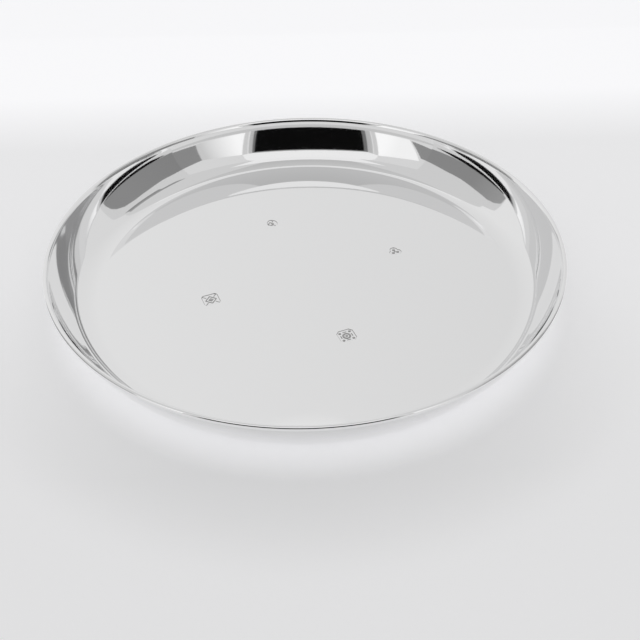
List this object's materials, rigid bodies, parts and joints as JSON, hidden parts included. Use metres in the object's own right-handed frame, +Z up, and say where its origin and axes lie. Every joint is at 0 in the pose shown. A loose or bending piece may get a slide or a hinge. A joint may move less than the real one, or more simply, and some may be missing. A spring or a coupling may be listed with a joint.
{
  "type": "offering plate",
  "caption": "Shallow round metal dish with a flat floor, a curved leaning wall and a wired lip, for carrying small offerings.",
  "frame": {"origin": "centre of the underside, on the surface that the dish stands on", "axes": "+Z up along the dish's axis of revolution; the four struck marks lie at 21, 111, 201 and 291 degrees from +X"},
  "size_m": [0.25, 0.25, 0.0259],
  "materials": {
    "silver_sheet": "hand-polished silver, mirror bright with fine polishing marks",
    "silver_wire": "drawn silver wire, soldered on and polished bright"
  },
  "bodies": {
    "root": {"dish_body": "silver_sheet", "rim_wire": "silver_wire"}
  },
  "joints": []
}
